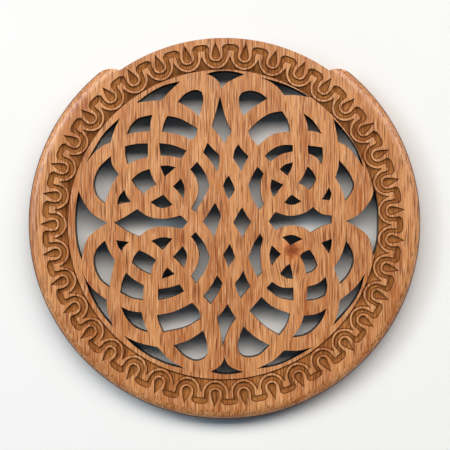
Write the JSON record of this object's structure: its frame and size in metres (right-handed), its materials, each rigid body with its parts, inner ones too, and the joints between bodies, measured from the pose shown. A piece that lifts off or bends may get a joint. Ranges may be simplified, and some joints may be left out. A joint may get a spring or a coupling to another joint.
{
  "type": "sound hole cover",
  "caption": "Round pierced wooden cover with a rounded lip cut back on one side; it presses into an acoustic guitar's sound hole to tame feedback.",
  "frame": {"origin": "centre of the lip's circle, on the plug plate's underside, which is the face that the cover lies on when it is put down", "axes": "+Z out of the engraved face, +Y towards the side where the lip is cut back for the fingerboard, +X to the right seen from the front"},
  "size_m": [0.107, 0.1039, 0.0062],
  "materials": {
    "mahogany_face": "satin, sanded, with laser-engraved band",
    "mahogany_plug": "sanded, unfinished",
    "black_foam": "matt closed-cell foam"
  },
  "bodies": {
    "root": {"face_plate": "mahogany_face", "plug_plate": "mahogany_plug", "foam_strip": "black_foam"}
  },
  "joints": []
}
